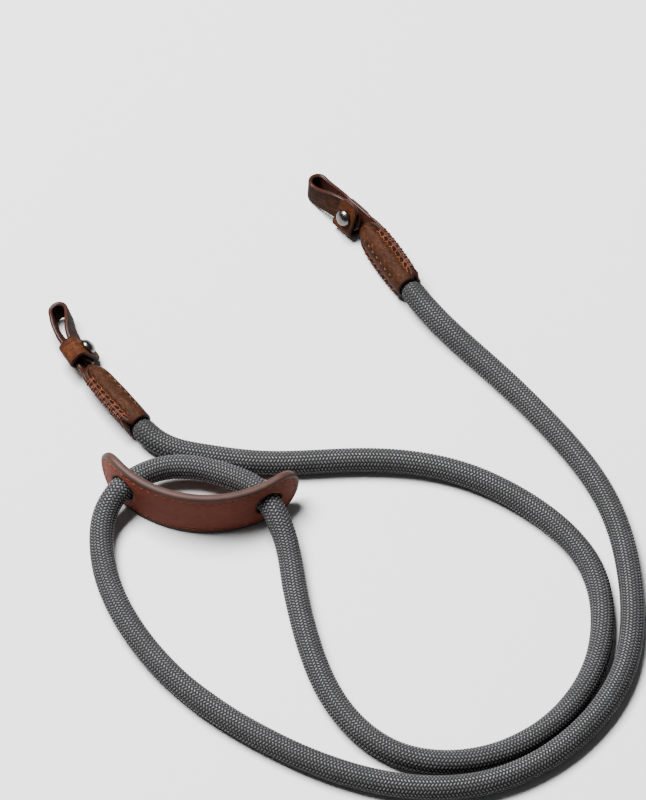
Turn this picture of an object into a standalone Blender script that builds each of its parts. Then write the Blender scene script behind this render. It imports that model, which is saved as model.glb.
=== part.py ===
"""Braided neck strap lying on a flat surface, in metres, +Z up, the surface at z = 0.

One round rope runs from a leather end, round the lying loop, twice through the holes of a curved
slide pad that stands on its long edge, and back to the other leather end. Each end is a back strap
(half pipe, leg, loop and short leg in one strip), a front cover, a keeper band with a tab and a stud.
The origin is the middle of the pad's foot. Each end is drawn straight, with u from the rope to the
loop, f towards the front cover and w across, and is then laid down with a bend and a twist.
"""

import math

import bmesh
import bpy
import numpy as np
from mathutils import Matrix, Vector

# Rope
ROPE_DIAMETER = 0.010
ROPE_GRIPPED = 0.0080  # diameter where a sleeve squeezes it
ROPE_PRESSED = 0.0060  # diameter at its hidden ends, deep in the sleeves
ROPE_REACH = 0.024  # how far the rope goes into a sleeve
ROPE_NARROWING = 0.003  # how far outside the mouth the rope starts to narrow
ROPE_STEP = 0.0164  # usual run between two points of the drawn rope
ROPE_SIDES_RESOLUTION = 3

# Slide pad, measured along the middle of its thickness
PAD_LENGTH = 0.0976
PAD_HEIGHT = 0.0235
PAD_THICKNESS = 0.0036
PAD_BEND_RADIUS = 0.0471
PAD_TURN = -7.2  # degrees about Z, seen from above
PAD_HOLE_SPACING = 0.0638
PAD_HOLE_CLEARANCE = 0.0006  # between the rope and the hole
PAD_EDGE_BEVEL = 0.0006
PAD_MIDDLE_STEPS = 25
PAD_CAP_STEPS = 6

# Leather ends
LEATHER = 0.0016
CLEARANCE = 0.0003  # between pieces that touch
LEG_WIDTH = 0.0105
LEG_GAP = 0.0018  # between the two legs, inside the keeper
COVER_LENGTH = 0.0375
COVER_TIP_LENGTH = 0.0052  # the rounded upper end of the cover
SLEEVE_WIDTH = 0.0156  # over the leather, at its widest
SLEEVE_SIDE_GAP = 0.0026  # laced gap between the edges of the cover and of the back strap
COVER_TO_SHORT_LEG = 0.0010
SHORT_LEG_TO_KEEPER = 0.0018
KEEPER_WIDTH = 0.0110
KEEPER_CORNER = 0.0022  # bend radius of the keeper's fold, at mid-thickness
KEEPER_SLACK = 0.0013  # clear space between the legs' edge and the keeper's fold
LOOP_OPENING = 0.0054  # clear width of the loop near its turn
LOOP_LENGTH = 0.0210  # from the keeper's edge to the outside of the turn
TAB_OVERHANG = 0.0027  # how far the tab's free end passes the legs' edge
TAB_CORNER = 0.0045
BACK_END_SETBACK = 0.0010  # how far the keeper's hidden end stops short of the legs' edge
STRAP_STEPS_ACROSS = 6
TIP_STEPS = 5
TIP_LAST_ANGLE = 80  # degrees of the quarter circle that a rounded end is drawn to
TURN_STEPS = 9

# The sleeve's cross-sections at shares of the cover's length. Width and depth are shares of the
# sleeve's middle width and depth; flat blends the oval into the flat leg.
SLEEVE_SECTIONS = [
    {"along": 0.00, "width": 0.90, "depth": 1.00, "flat": 0.00},
    {"along": 0.25, "width": 0.97, "depth": 1.00, "flat": 0.00},
    {"along": 0.50, "width": 1.00, "depth": 0.97, "flat": 0.00},
    {"along": 0.70, "width": 0.95, "depth": 0.90, "flat": 0.00},
    {"along": 0.85, "width": 0.89, "depth": 0.84, "flat": 0.12},
    {"along": 0.94, "width": 0.86, "depth": 0.70, "flat": 0.45},
    {"along": 1.00, "width": 0.84, "depth": 0.55, "flat": 1.00},
]
SLEEVE_STEPS = 13

# Stud
STUD_DIAMETER = 0.0068
STUD_DOME_HEIGHT = 0.0026
STUD_NECK_DIAMETER = 0.0032
STUD_BASE_DIAMETER = 0.0060
STUD_BASE_THICKNESS = 0.0010
STUD_DOME_STEPS = 5
STUD_TURN_STEPS = 20
STUD_SLIT_LENGTH = 0.0030  # the slit in the tab that lets the stud through
STUD_SLIT_WIDTH = 0.0008
HOLE_SIDES = 20

# How each end lies: its mouth, and for its sleeve, keeper and loop the headings seen from above and
# the rolls about its length, in degrees. At a roll of 0 the front cover faces left of the heading,
# and at 90 it faces up.
ENDS = {
    "a": {"mouth": (0.0909, 0.1220), "headings": (120, 132, 128), "rolls": (34, 24, 3)},
    "b": {"mouth": (-0.0228, 0.0491), "headings": (126, 120, 100), "rolls": (123, 143, 165)},
}
BEND_START = 0.030  # where the sleeve's lie starts to change to the keeper's lie
LEGS_LIFT = 0.0002  # keeps the twisted stretch between keeper and loop off the surface
BEND_STEPS = 40

# The rope's route between the ends, its points chosen by hand: x, y and height of its middle
ROUTE_FROM_A_TO_PAD = [
    (0.1183, 0.0878, 0.0050),
    (0.1500, 0.0493, 0.0050),
    (0.1723, 0.0110, 0.0050),
    (0.1812, -0.0340, 0.0050),
    (0.1772, -0.0740, 0.0050),
    (0.1574, -0.1068, 0.0050),
    (0.1192, -0.1304, 0.0050),
    (0.0780, -0.1300, 0.0050),
    (0.0337, -0.1110, 0.0050),
    (-0.0080, -0.0773, 0.0050),
    (-0.0315, -0.0394, 0.0050),
    (-0.0378, -0.0130, 0.0056),
    (-0.0360, 0.0032, 0.0089),
]
ROUTE_BEHIND_PAD = [
    (-0.0140, 0.0242, 0.0097),
    (-0.0010, 0.0255, 0.0091),
    (0.0120, 0.0218, 0.0093),
]
ROUTE_FROM_PAD_TO_B = [
    (0.0382, -0.0095, 0.0076),
    (0.0417, -0.0290, 0.0051),
    (0.0480, -0.0610, 0.0050),
    (0.0610, -0.0940, 0.0050),
    (0.0850, -0.1163, 0.0050),
    (0.1150, -0.1191, 0.0050),
    (0.1440, -0.1048, 0.0050),
    (0.1628, -0.0793, 0.0050),
    (0.1691, -0.0500, 0.0050),
    (0.1638, -0.0205, 0.0050),
    (0.1375, 0.0105, 0.0050),
    (0.1075, 0.0270, 0.0050),
    (0.0652, 0.0322, 0.0050),
    (0.0300, 0.0309, 0.0050),
    (0.0034, 0.0347, 0.0050),
    (-0.0115, 0.0392, 0.0054),
]
ROPE_STRAIGHT = 0.004  # straight run of the rope on each side of a pad hole

# Worked out from the sizes above
ROPE_RADIUS = ROPE_DIAMETER / 2
SLEEVE_MID_WIDTH = (SLEEVE_WIDTH - LEATHER) / 2
SLEEVE_MID_DEPTH = ROPE_GRIPPED / 2 + CLEARANCE + LEATHER / 2
LEG_MID = (LEG_GAP + LEATHER) / 2
LEG_EDGE = LEG_WIDTH / 2
COVER_MID = -LEG_MID + LEATHER + CLEARANCE  # the cover's tip lies on the long leg
SHORT_LEG_END = COVER_LENGTH + COVER_TO_SHORT_LEG
KEEPER_START = SHORT_LEG_END + SHORT_LEG_TO_KEEPER
KEEPER_MIDDLE = KEEPER_START + KEEPER_WIDTH / 2
KEEPER_END = KEEPER_START + KEEPER_WIDTH
KEEPER_MID = LEG_MID + LEATHER + CLEARANCE
KEEPER_FACE = KEEPER_MID + LEATHER / 2
KEEPER_FOLD = LEG_EDGE + KEEPER_SLACK + LEATHER / 2
TAB_END = LEG_EDGE + TAB_OVERHANG
BACK_END = LEG_EDGE - BACK_END_SETBACK
TURN_MID_RADIUS = (LOOP_OPENING + LEATHER) / 2
TURN_START = KEEPER_END + LOOP_LENGTH - LEATHER / 2 - TURN_MID_RADIUS
STUD_HOLE_RADIUS = STUD_NECK_DIAMETER / 2 + CLEARANCE


def smooth_step(share):
    """0 below 0, 1 above 1, and a smooth rise between."""
    share = min(max(share, 0), 1)
    return share * share * (3 - 2 * share)


def mix(low, high, share):
    return low + (high - low) * share


def shares(steps):
    return [step / steps for step in range(steps + 1)]


# Scene and objects


def clear_scene():
    for old in list(bpy.data.objects):
        bpy.data.objects.remove(old, do_unlink=True)


def new_collection(name):
    collection = bpy.data.collections.new(name)
    bpy.context.scene.collection.children.link(collection)
    return collection


def principled(name, colour, roughness, metallic=0.0):
    material = bpy.data.materials.new(name)
    material.use_nodes = True
    shader = material.node_tree.nodes["Principled BSDF"]
    shader.inputs["Base Color"].default_value = (*colour, 1)
    shader.inputs["Roughness"].default_value = roughness
    shader.inputs["Metallic"].default_value = metallic
    return material


def add_object(name, data, collection, material=None, parent=None):
    made = bpy.data.objects.new(name, data)
    collection.objects.link(made)
    if material:
        data.materials.append(material)
    made.parent = parent
    return made


def add_empty(name, matrix, collection):
    empty = add_object(name, None, collection)
    empty.matrix_world = matrix
    return empty


def strip_mesh(name, rows):
    """An open surface through rows of points, each row with as many points as the next."""
    columns = len(rows[0])
    faces = []
    for row in range(len(rows) - 1):
        for column in range(columns - 1):
            corner = row * columns + column
            faces.append((corner, corner + 1, corner + columns + 1, corner + columns))
    mesh = bpy.data.meshes.new(name)
    mesh.from_pydata([tuple(point) for row in rows for point in row], [], faces)
    return mesh


def smooth_shade(made, sharp_from=40):
    made.data.shade_smooth()
    made.data.set_sharp_from_angle(angle=math.radians(sharp_from))


def thicken(made, thickness):
    solidify = made.modifiers.new("thickness", "SOLIDIFY")
    solidify.thickness = thickness
    solidify.offset = 0
    solidify.use_even_offset = True


def round_edges(made, width, segments, sharper_than):
    bevel = made.modifiers.new("rounded edges", "BEVEL")
    bevel.width = width
    bevel.segments = segments
    bevel.limit_method = "ANGLE"
    bevel.angle_limit = math.radians(sharper_than)


def cut(made, cutter):
    boolean = made.modifiers.new("cut by " + cutter.name, "BOOLEAN")
    boolean.object = cutter
    boolean.operation = "DIFFERENCE"
    boolean.solver = "EXACT"


def add_cutter(name, shape, collection, parent=None):
    mesh = bpy.data.meshes.new(name)
    shape.to_mesh(mesh)
    shape.free()
    cutter = add_object(name, mesh, collection, parent=parent)
    cutter.hide_render = True
    cutter.display_type = "WIRE"
    return cutter


def round_cutter(name, radius, length, matrix, collection, parent=None):
    """A cylinder round the matrix's Z axis, with the matrix at its middle."""
    shape = bmesh.new()
    bmesh.ops.create_cone(
        shape,
        cap_ends=True,
        segments=HOLE_SIDES,
        radius1=radius,
        radius2=radius,
        depth=length,
        matrix=matrix,
    )
    return add_cutter(name, shape, collection, parent)


def box_cutter(name, centre, size, collection, parent=None):
    shape = bmesh.new()
    matrix = Matrix.Translation(centre) @ Matrix.Diagonal((*size, 1))
    bmesh.ops.create_cube(shape, size=1, matrix=matrix)
    return add_cutter(name, shape, collection, parent)


# How an end lies


def heading_vector(degrees):
    return Vector((math.cos(math.radians(degrees)), math.sin(math.radians(degrees)), 0))


def resting_height(circles, roll):
    """Height at which the lowest of some circles in the f, w plane is just over the surface."""
    up_f = math.sin(math.radians(roll))
    up_w = math.cos(math.radians(roll))
    return max(radius - f * up_f - w * up_w for f, w, radius in circles) + LEGS_LIFT


def sleeve_height(roll):
    depth = (SLEEVE_MID_DEPTH + LEATHER / 2) * math.sin(math.radians(roll))
    width = SLEEVE_WIDTH / 2 * math.cos(math.radians(roll))
    return math.hypot(depth, width)


def keeper_height(roll):
    corner_f = KEEPER_MID - KEEPER_CORNER
    corner_w = KEEPER_CORNER - KEEPER_FOLD
    corner_radius = KEEPER_CORNER + LEATHER / 2
    outline = [(corner_f, corner_w, corner_radius), (-corner_f, corner_w, corner_radius)]
    outline += [(KEEPER_MID - LEATHER / 2, TAB_END, 0), (-KEEPER_FACE, BACK_END, 0)]
    return resting_height(outline, roll)


def loop_height(roll):
    far = TURN_MID_RADIUS + LEATHER / 2
    return resting_height([(-far, LEG_EDGE, 0), (-far, -LEG_EDGE, 0)], roll)


def lie_value(values, u):
    """A value at u that goes smoothly from the sleeve's to the keeper's and on to the loop's."""
    sleeve, keeper, loop = values
    to_keeper = smooth_step((u - BEND_START) / (KEEPER_START - BEND_START))
    to_loop = smooth_step((u - KEEPER_END) / (TURN_START - KEEPER_END))
    return mix(mix(sleeve, keeper, to_keeper), loop, to_loop)


def lie_at(end, u):
    """The matrix that carries the drawn end's plane at u to where it lies: X along, Y is f, Z is w."""
    lie = ENDS[end]
    heights = [height(roll) for height, roll in zip((sleeve_height, keeper_height, loop_height), lie["rolls"])]
    place = Vector((*lie["mouth"], lie_value(heights, u)))
    for step in range(BEND_STEPS):
        u_passed = (step + 0.5) / BEND_STEPS * u
        place += heading_vector(lie_value(lie["headings"], u_passed)) * u / BEND_STEPS
    heading = Matrix.Rotation(math.radians(lie_value(lie["headings"], u)), 4, "Z")
    roll = Matrix.Rotation(math.radians(lie_value(lie["rolls"], u)), 4, "X")
    return Matrix.Translation(place) @ heading @ roll


def lay_down(end, rows):
    """Rows of drawn points (u, f, w), laid down and measured from the end's mouth."""
    from_mouth = lie_at(end, 0).inverted()
    laid = []
    for row in rows:
        laid.append([from_mouth @ lie_at(end, u) @ Vector((0, f, w)) for u, f, w in row])
    return laid


# Rope


def smooth_route(points, step):
    """Points on the natural cubic spline through the given ones, each run cut into equal shares."""
    knots = np.array([tuple(point) for point in points])
    runs = np.linalg.norm(np.diff(knots, axis=0), axis=1)
    system = np.identity(len(knots))
    bending = np.zeros((len(knots), 3))
    for i in range(1, len(knots) - 1):
        system[i, i - 1] = runs[i - 1]
        system[i, i] = 2 * (runs[i - 1] + runs[i])
        system[i, i + 1] = runs[i]
        bending[i] = 6 * ((knots[i + 1] - knots[i]) / runs[i] - (knots[i] - knots[i - 1]) / runs[i - 1])
    second = np.linalg.solve(system, bending)
    route = []
    for i, run in enumerate(runs):
        start = knots[i] / run - second[i] * run / 6
        finish = knots[i + 1] / run - second[i + 1] * run / 6
        pieces = max(1, round(run / step))
        for piece in range(pieces):
            done = run * piece / pieces
            left = run - done
            bend = (second[i] * left**3 + second[i + 1] * done**3) / (6 * run)
            route.append(Vector(bend + start * left + finish * done))
    route.append(Vector(knots[-1]))
    for point in route:
        point.z = max(point.z, ROPE_RADIUS)
    return route


def pad_centre():
    """The axis that the pad is bent round, with the middle of its foot at the origin."""
    return Matrix.Rotation(math.radians(PAD_TURN), 4, "Z") @ Vector((0, PAD_BEND_RADIUS, 0))


def pad_direction(along):
    """The way out from the pad's axis at a distance along the pad from its middle."""
    angle = math.radians(PAD_TURN - 90) + along / PAD_BEND_RADIUS
    return Vector((math.cos(angle), math.sin(angle), 0))


def pad_hole(side, outward):
    """A point on the middle of a pad hole: side is -1 left or 1 right, outward from mid-thickness."""
    reach = PAD_BEND_RADIUS + outward
    return pad_centre() + pad_direction(side * PAD_HOLE_SPACING / 2) * reach + Vector((0, 0, PAD_HEIGHT / 2))


def rope_in_sleeve(end):
    """The rope's middle where an end holds it, from deep inside to just outside the mouth."""
    return [lie_at(end, u).translation for u in (ROPE_REACH, 0, -ROPE_NARROWING)]


def rope_route():
    route = rope_in_sleeve("a")
    route += ROUTE_FROM_A_TO_PAD
    route += [pad_hole(-1, ROPE_STRAIGHT), pad_hole(-1, -ROPE_STRAIGHT)]
    route += ROUTE_BEHIND_PAD
    route += [pad_hole(1, -ROPE_STRAIGHT), pad_hole(1, ROPE_STRAIGHT)]
    route += ROUTE_FROM_PAD_TO_B
    route += reversed(rope_in_sleeve("b"))
    return route


def rope_thickness(place):
    """The rope's diameter at a place: full outside the ends, and pressed inside them."""
    for end in ENDS:
        inside = lie_at(end, 0).inverted() @ place
        if -ROPE_NARROWING < inside.x < ROPE_REACH * 1.01 and math.hypot(inside.y, inside.z) < ROPE_RADIUS:
            if inside.x < 0:
                return mix(ROPE_GRIPPED, ROPE_DIAMETER, -inside.x / ROPE_NARROWING)
            return mix(ROPE_GRIPPED, ROPE_PRESSED, (inside.x / ROPE_REACH) ** 2)
    return ROPE_DIAMETER


def make_rope(collection, material):
    curve = bpy.data.curves.new("rope", "CURVE")
    curve.dimensions = "3D"
    curve.bevel_depth = ROPE_RADIUS
    curve.bevel_resolution = ROPE_SIDES_RESOLUTION
    curve.use_fill_caps = True
    route = smooth_route(rope_route(), ROPE_STEP)
    spline = curve.splines.new("POLY")
    spline.points.add(len(route) - 1)
    for point, place in zip(spline.points, route):
        point.co = (*place, 1)
        point.radius = rope_thickness(place) / ROPE_DIAMETER
    add_object("rope", curve, collection, material)


# Slide pad


def pad_rows():
    """The pad's middle surface: an upright stadium outline bent round the pad's axis."""
    cap = PAD_HEIGHT / 2
    straight = PAD_LENGTH / 2 - cap
    outline = []
    for share in shares(PAD_CAP_STEPS)[:-1]:
        angle = math.radians(mix(-TIP_LAST_ANGLE, 0, share))
        outline.append((-straight + cap * math.sin(angle), cap * math.cos(angle)))
    outline += [(mix(-straight, straight, share), cap) for share in shares(PAD_MIDDLE_STEPS)]
    outline += [(-along, half_height) for along, half_height in reversed(outline[:PAD_CAP_STEPS])]
    rows = []
    for along, half_height in outline:
        foot = pad_centre() + pad_direction(along) * PAD_BEND_RADIUS
        rows.append([foot + Vector((0, 0, cap - half_height)), foot + Vector((0, 0, cap + half_height))])
    return rows


def make_slide_pad(collection, cutters, material):
    pad = add_object("slide_pad", strip_mesh("slide_pad", pad_rows()), collection, material)
    thicken(pad, PAD_THICKNESS)
    round_edges(pad, PAD_EDGE_BEVEL, 2, sharper_than=45)
    smooth_shade(pad)
    for name, side in (("left", -1), ("right", 1)):
        across = pad_direction(side * PAD_HOLE_SPACING / 2).to_track_quat("Z", "Y").to_matrix().to_4x4()
        matrix = Matrix.Translation(pad_hole(side, 0)) @ across
        radius = ROPE_RADIUS + PAD_HOLE_CLEARANCE
        cut(pad, round_cutter("cutter_pad_hole_" + name, radius, PAD_THICKNESS * 4, matrix, cutters))


# Leather ends


def sleeve_section(u):
    """The sleeve's middle width, middle depth and flatness at u, on a curve through the table's rows."""
    along = u / COVER_LENGTH
    upper = next(i for i, row in enumerate(SLEEVE_SECTIONS) if i > 0 and along <= row["along"])
    near = [SLEEVE_SECTIONS[min(max(i, 0), len(SLEEVE_SECTIONS) - 1)] for i in range(upper - 2, upper + 2)]
    before, low, high, after = near
    span = high["along"] - low["along"]
    done = (along - low["along"]) / span
    values = []
    for column in ("width", "depth", "flat"):
        slope_low = (high[column] - before[column]) / (high["along"] - before["along"]) * span
        slope_high = (after[column] - low[column]) / (after["along"] - low["along"]) * span
        rise = smooth_step(done)
        ease_in = done * (1 - done) ** 2
        ease_out = done**2 * (done - 1)
        values.append(mix(low[column], high[column], rise) + slope_low * ease_in + slope_high * ease_out)
    width, depth, flat = values
    return width * SLEEVE_MID_WIDTH, depth * SLEEVE_MID_DEPTH, min(max(flat, 0), 1)


def sleeve_point(u, across, front, flat_f):
    """A point of a half pipe's middle surface: across runs from -1 to 1, front is 1 or -1."""
    width, depth, flat = sleeve_section(u)
    angle = math.acos(SLEEVE_SIDE_GAP / 2 / depth) * across
    f = mix(front * depth * math.cos(angle), flat_f, flat)
    w = mix(width * math.sin(angle), LEG_EDGE * across, flat)
    return u, f, w


def across_shares():
    return [mix(-1, 1, share) for share in shares(STRAP_STEPS_ACROSS)]


def leg_spread(u):
    """How far a leg's middle surface is from the end's middle plane."""
    share = (u - KEEPER_END) / (TURN_START - KEEPER_END)
    opened = (smooth_step(share) + share * (2 - share)) / 2
    return mix(LEG_MID, TURN_MID_RADIUS, opened)


def tip_shares():
    """How far along and how wide a rounded end is, as shares of its length and its full width."""
    angles = [math.radians(TIP_LAST_ANGLE) * share for share in shares(TIP_STEPS)]
    longest = math.sin(angles[-1])
    return [(math.sin(angle) / longest, math.cos(angle)) for angle in angles]


def back_strap_rows():
    rows = []
    for share in shares(SLEEVE_STEPS):
        u = COVER_LENGTH * share
        rows.append([sleeve_point(u, across, -1, -LEG_MID) for across in across_shares()])
    spine = [(mix(COVER_LENGTH, KEEPER_END, share), -LEG_MID) for share in shares(4)[1:]]
    opening = [mix(KEEPER_END, TURN_START, share) for share in shares(5)[1:]]
    spine += [(u, -leg_spread(u)) for u in opening]
    for share in shares(TURN_STEPS)[1:]:
        angle = math.pi * share
        spine.append((TURN_START + TURN_MID_RADIUS * math.sin(angle), -TURN_MID_RADIUS * math.cos(angle)))
    spine += [(u, leg_spread(u)) for u in reversed([KEEPER_END] + opening[:-1])]
    for u, f in spine:
        rows.append([(u, f, LEG_EDGE * across) for across in across_shares()])
    for along, wide in tip_shares():
        u = mix(SHORT_LEG_END + LEG_EDGE, SHORT_LEG_END, along)
        rows.append([(u, LEG_MID, LEG_EDGE * wide * across) for across in across_shares()])
    return rows


def front_cover_rows():
    tip_start = COVER_LENGTH - COVER_TIP_LENGTH
    outline = [(tip_start * share, 1) for share in shares(SLEEVE_STEPS - 4)[:-1]]
    outline += [(mix(tip_start, COVER_LENGTH, along), wide) for along, wide in tip_shares()]
    rows = []
    for u, wide in outline:
        rows.append([sleeve_point(u, across * wide, 1, COVER_MID) for across in across_shares()])
    return rows


def keeper_rows():
    """The keeper's middle surface from its hidden back end, round one edge of the legs, to the tab."""
    corner_f = KEEPER_MID - KEEPER_CORNER
    corner_w = KEEPER_CORNER - KEEPER_FOLD
    outline = [(-KEEPER_MID, BACK_END, 1)]
    for share in shares(3):
        angle = math.radians(90) * share
        f = -corner_f - KEEPER_CORNER * math.cos(angle)
        outline.append((f, corner_w - KEEPER_CORNER * math.sin(angle), 1))
    outline += [(-f, w, 1) for f, w, wide in reversed(outline[1:])]
    narrow = 1 - 2 * TAB_CORNER / KEEPER_WIDTH
    for share in shares(TIP_STEPS):
        angle = math.radians(90) * share
        w = TAB_END - TAB_CORNER + TAB_CORNER * math.sin(angle)
        outline.append((KEEPER_MID, w, mix(narrow, 1, math.cos(angle))))
    half = KEEPER_WIDTH / 2
    return [[(-half * wide, f, w), (half * wide, f, w)] for f, w, wide in outline]


def stud_profile():
    """Half of the stud's outline, from the top of its dome to the middle of its base, as (radius, f)."""
    dome_foot = KEEPER_FACE + CLEARANCE
    neck = STUD_NECK_DIAMETER / 2
    base = STUD_BASE_DIAMETER / 2
    half_base = STUD_BASE_THICKNESS / 2
    profile = []
    for share in shares(STUD_DOME_STEPS):
        angle = math.radians(90) * share
        height = STUD_DOME_HEIGHT * math.cos(angle)
        profile.append((STUD_DIAMETER / 2 * math.sin(angle), dome_foot + height))
    profile += [(neck, dome_foot), (neck, half_base), (base, half_base), (base, -half_base), (0, -half_base)]
    return profile


def make_stud(name, collection, material, parent):
    profile = stud_profile()
    mesh = bpy.data.meshes.new(name)
    edges = [(i, i + 1) for i in range(len(profile) - 1)]
    mesh.from_pydata([(radius, 0, f) for radius, f in profile], edges, [])
    stud = add_object(name, mesh, collection, material, parent)
    stud.rotation_euler.x = math.radians(-90)
    screw = stud.modifiers.new("turned", "SCREW")
    screw.steps = STUD_TURN_STEPS
    screw.render_steps = STUD_TURN_STEPS
    screw.use_merge_vertices = True
    screw.merge_threshold = 0.00001
    screw.use_smooth_shade = True


def make_end(end, collection, cutters, materials):
    mouth = add_empty("end_" + end, lie_at(end, 0), collection)
    legs = add_empty("legs_" + end, lie_at(end, KEEPER_MIDDLE), collection)
    strap_mesh = strip_mesh("back_strap_" + end, lay_down(end, back_strap_rows()))
    strap = add_object("back_strap_" + end, strap_mesh, collection, materials["strap_leather"], mouth)
    cover_mesh = strip_mesh("front_cover_" + end, lay_down(end, front_cover_rows()))
    cover = add_object("front_cover_" + end, cover_mesh, collection, materials["cover_leather"], mouth)
    keeper_mesh = strip_mesh("keeper_" + end, keeper_rows())
    keeper = add_object("keeper_" + end, keeper_mesh, collection, materials["keeper_leather"], legs)
    for made in (strap, cover, keeper):
        thicken(made, LEATHER)
        smooth_shade(made)
    make_stud("stud_" + end, collection, materials["stud_metal"], legs)
    hole_low = STUD_BASE_THICKNESS / 2
    hole_high = KEEPER_FACE + LEATHER
    hole_middle = Matrix.Translation((0, (hole_low + hole_high) / 2, 0))
    hole_matrix = hole_middle @ Matrix.Rotation(math.radians(-90), 4, "X")
    hole_name = "cutter_stud_hole_" + end
    hole = round_cutter(hole_name, STUD_HOLE_RADIUS, hole_high - hole_low, hole_matrix, cutters, legs)
    cut(strap, hole)
    cut(keeper, hole)
    slit_centre = (0, KEEPER_MID, -STUD_HOLE_RADIUS - STUD_SLIT_LENGTH / 2 + CLEARANCE)
    slit_size = (STUD_SLIT_WIDTH, LEATHER * 1.5, STUD_SLIT_LENGTH + CLEARANCE * 2)
    cut(keeper, box_cutter("cutter_slit_" + end, slit_centre, slit_size, cutters, legs))


def main():
    clear_scene()
    collection = new_collection("braided_strap")
    cutters = new_collection("cutters")
    materials = {
        "rope_braid": principled("rope_braid", (0.035, 0.035, 0.036), 0.85),
        "pad_leather": principled("pad_leather", (0.17, 0.085, 0.055), 0.60),
        "strap_leather": principled("strap_leather", (0.24, 0.13, 0.065), 0.50),
        "cover_leather": principled("cover_leather", (0.30, 0.15, 0.070), 0.50),
        "keeper_leather": principled("keeper_leather", (0.27, 0.14, 0.070), 0.50),
        "stud_metal": principled("stud_metal", (0.42, 0.40, 0.37), 0.20, metallic=1.0),
    }
    make_rope(collection, materials["rope_braid"])
    make_slide_pad(collection, cutters, materials["pad_leather"])
    for end in ENDS:
        make_end(end, collection, cutters, materials)


main()
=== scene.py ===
import math

import bpy
import numpy as np
from mathutils import Matrix, Vector


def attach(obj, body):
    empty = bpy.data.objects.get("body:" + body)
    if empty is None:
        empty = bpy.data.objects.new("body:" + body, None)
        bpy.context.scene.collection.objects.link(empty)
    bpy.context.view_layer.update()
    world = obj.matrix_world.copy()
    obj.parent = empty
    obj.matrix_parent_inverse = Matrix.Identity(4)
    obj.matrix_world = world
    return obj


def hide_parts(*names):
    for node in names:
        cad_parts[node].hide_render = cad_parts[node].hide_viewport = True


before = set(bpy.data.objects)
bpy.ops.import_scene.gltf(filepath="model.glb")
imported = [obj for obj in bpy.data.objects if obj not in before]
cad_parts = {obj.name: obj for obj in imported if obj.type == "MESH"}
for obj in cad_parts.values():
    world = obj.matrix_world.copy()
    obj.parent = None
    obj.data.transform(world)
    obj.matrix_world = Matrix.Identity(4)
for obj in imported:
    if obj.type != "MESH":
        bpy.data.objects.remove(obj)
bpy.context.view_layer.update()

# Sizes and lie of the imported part, in metres, from its source

ROPE_DIAMETER = 0.010
ROPE_GRIPPED = 0.0080
ROPE_PRESSED = 0.0060
ROPE_REACH = 0.024
ROPE_NARROWING = 0.003
PAD_LENGTH = 0.0976
PAD_HEIGHT = 0.0235
PAD_THICKNESS = 0.0036
PAD_BEND_RADIUS = 0.0471
PAD_TURN = -7.2
PAD_HOLE_SPACING = 0.0638
PAD_HOLE_CLEARANCE = 0.0006
LEATHER = 0.0016
CLEARANCE = 0.0003
LEG_WIDTH = 0.0105
LEG_GAP = 0.0018
COVER_LENGTH = 0.0375
COVER_TIP_LENGTH = 0.0052
SLEEVE_WIDTH = 0.0156
COVER_TO_SHORT_LEG = 0.0010
SHORT_LEG_TO_KEEPER = 0.0018
KEEPER_WIDTH = 0.0110
KEEPER_CORNER = 0.0022
KEEPER_SLACK = 0.0013
LOOP_OPENING = 0.0054
LOOP_LENGTH = 0.0210
TAB_OVERHANG = 0.0027
TAB_CORNER = 0.0045
BACK_END_SETBACK = 0.0010
SLEEVE_SECTIONS = np.array([  # along, width, depth, flat
    (0.00, 0.90, 1.00, 0.00),
    (0.25, 0.97, 1.00, 0.00),
    (0.50, 1.00, 0.97, 0.00),
    (0.70, 0.95, 0.90, 0.00),
    (0.85, 0.89, 0.84, 0.12),
    (0.94, 0.86, 0.70, 0.45),
    (1.00, 0.84, 0.55, 1.00),
])
STUD_DIAMETER = 0.0068
STUD_DOME_HEIGHT = 0.0026
STUD_NECK_DIAMETER = 0.0032
STUD_BASE_DIAMETER = 0.0060
STUD_BASE_THICKNESS = 0.0010
STUD_SLIT_LENGTH = 0.0030
STUD_SLIT_WIDTH = 0.0008
ENDS = {
    "a": {"mouth": (0.0909, 0.1220), "headings": (120, 132, 128), "rolls": (34, 24, 3)},
    "b": {"mouth": (-0.0228, 0.0491), "headings": (126, 120, 100), "rolls": (123, 143, 165)},
}
BEND_START = 0.030
LEGS_LIFT = 0.0002
BEND_STEPS = 40
ROUTE_FROM_A_TO_PAD = [  # a point without a height lies on the surface
    (0.1183, 0.0878), (0.1500, 0.0493), (0.1723, 0.0110), (0.1812, -0.0340), (0.1772, -0.0740),
    (0.1574, -0.1068), (0.1192, -0.1304), (0.0780, -0.1300), (0.0337, -0.1110), (-0.0080, -0.0773),
    (-0.0315, -0.0394), (-0.0378, -0.0130, 0.0056), (-0.0360, 0.0032, 0.0089),
]
ROUTE_BEHIND_PAD = [
    (-0.0140, 0.0242, 0.0097), (-0.0010, 0.0255, 0.0091), (0.0120, 0.0218, 0.0093),
]
ROUTE_FROM_PAD_TO_B = [
    (0.0382, -0.0095, 0.0076), (0.0417, -0.0290, 0.0051), (0.0480, -0.0610), (0.0610, -0.0940),
    (0.0850, -0.1163), (0.1150, -0.1191), (0.1440, -0.1048), (0.1628, -0.0793), (0.1691, -0.0500),
    (0.1638, -0.0205), (0.1375, 0.0105), (0.1075, 0.0270), (0.0652, 0.0322), (0.0300, 0.0309),
    (0.0034, 0.0347), (-0.0115, 0.0392, 0.0054),
]
ROPE_STRAIGHT = 0.004
ROUTE_STEP = 0.001
LIE_FROM = -0.004
LIE_STEP = 0.00025
LIE_COUNT = 312

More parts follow.
